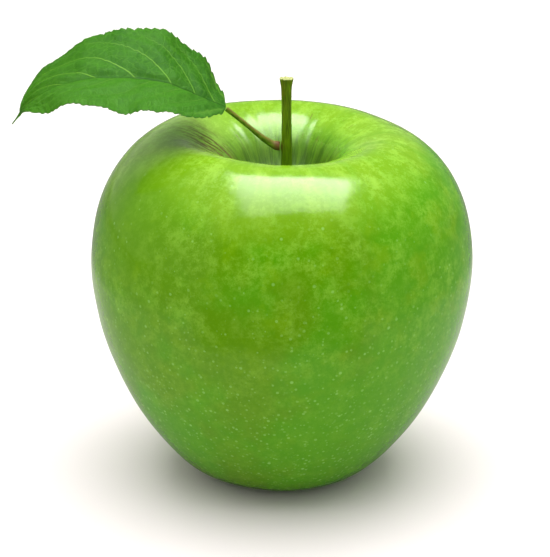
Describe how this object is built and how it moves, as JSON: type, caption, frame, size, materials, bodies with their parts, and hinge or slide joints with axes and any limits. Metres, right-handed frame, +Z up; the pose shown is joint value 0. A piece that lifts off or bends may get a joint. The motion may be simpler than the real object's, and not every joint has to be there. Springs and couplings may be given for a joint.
{
  "type": "apple",
  "caption": "Green apple as picked: ripe fruit standing on its base, woody stalk in the cavity, one serrated leaf on a petiole, dried sepals and stamens in the basin beneath.",
  "frame": {"origin": "middle of the apple's footprint, leaf included, on the surface that it stands on", "axes": "+Z up along the fruit's core; the leaf reaches out towards -X; +Y is away from the side that shows the leaf's front margin"},
  "size_m": [0.0945, 0.0795, 0.093],
  "materials": {
    "skin": "waxy, smooth, fine pale dots, paler and yellower on the shoulder",
    "stalk": "dull olive green bark, fine grain along its length, pale cut end",
    "petiole": "satin yellow green, brown red along its top and at its foot",
    "leaf": "satin with raised veins",
    "sepal": "dry, matt, crumpled",
    "stamens": "dry, matt"
  },
  "bodies": {
    "root": {"fruit": "skin", "stalk": "stalk", "petiole": "petiole", "leaf_blade": "leaf", "stamen_tuft": "stamens", "sepal_1": "sepal", "sepal_2": "sepal", "sepal_3": "sepal", "sepal_4": "sepal", "sepal_5": "sepal"}
  },
  "joints": []
}
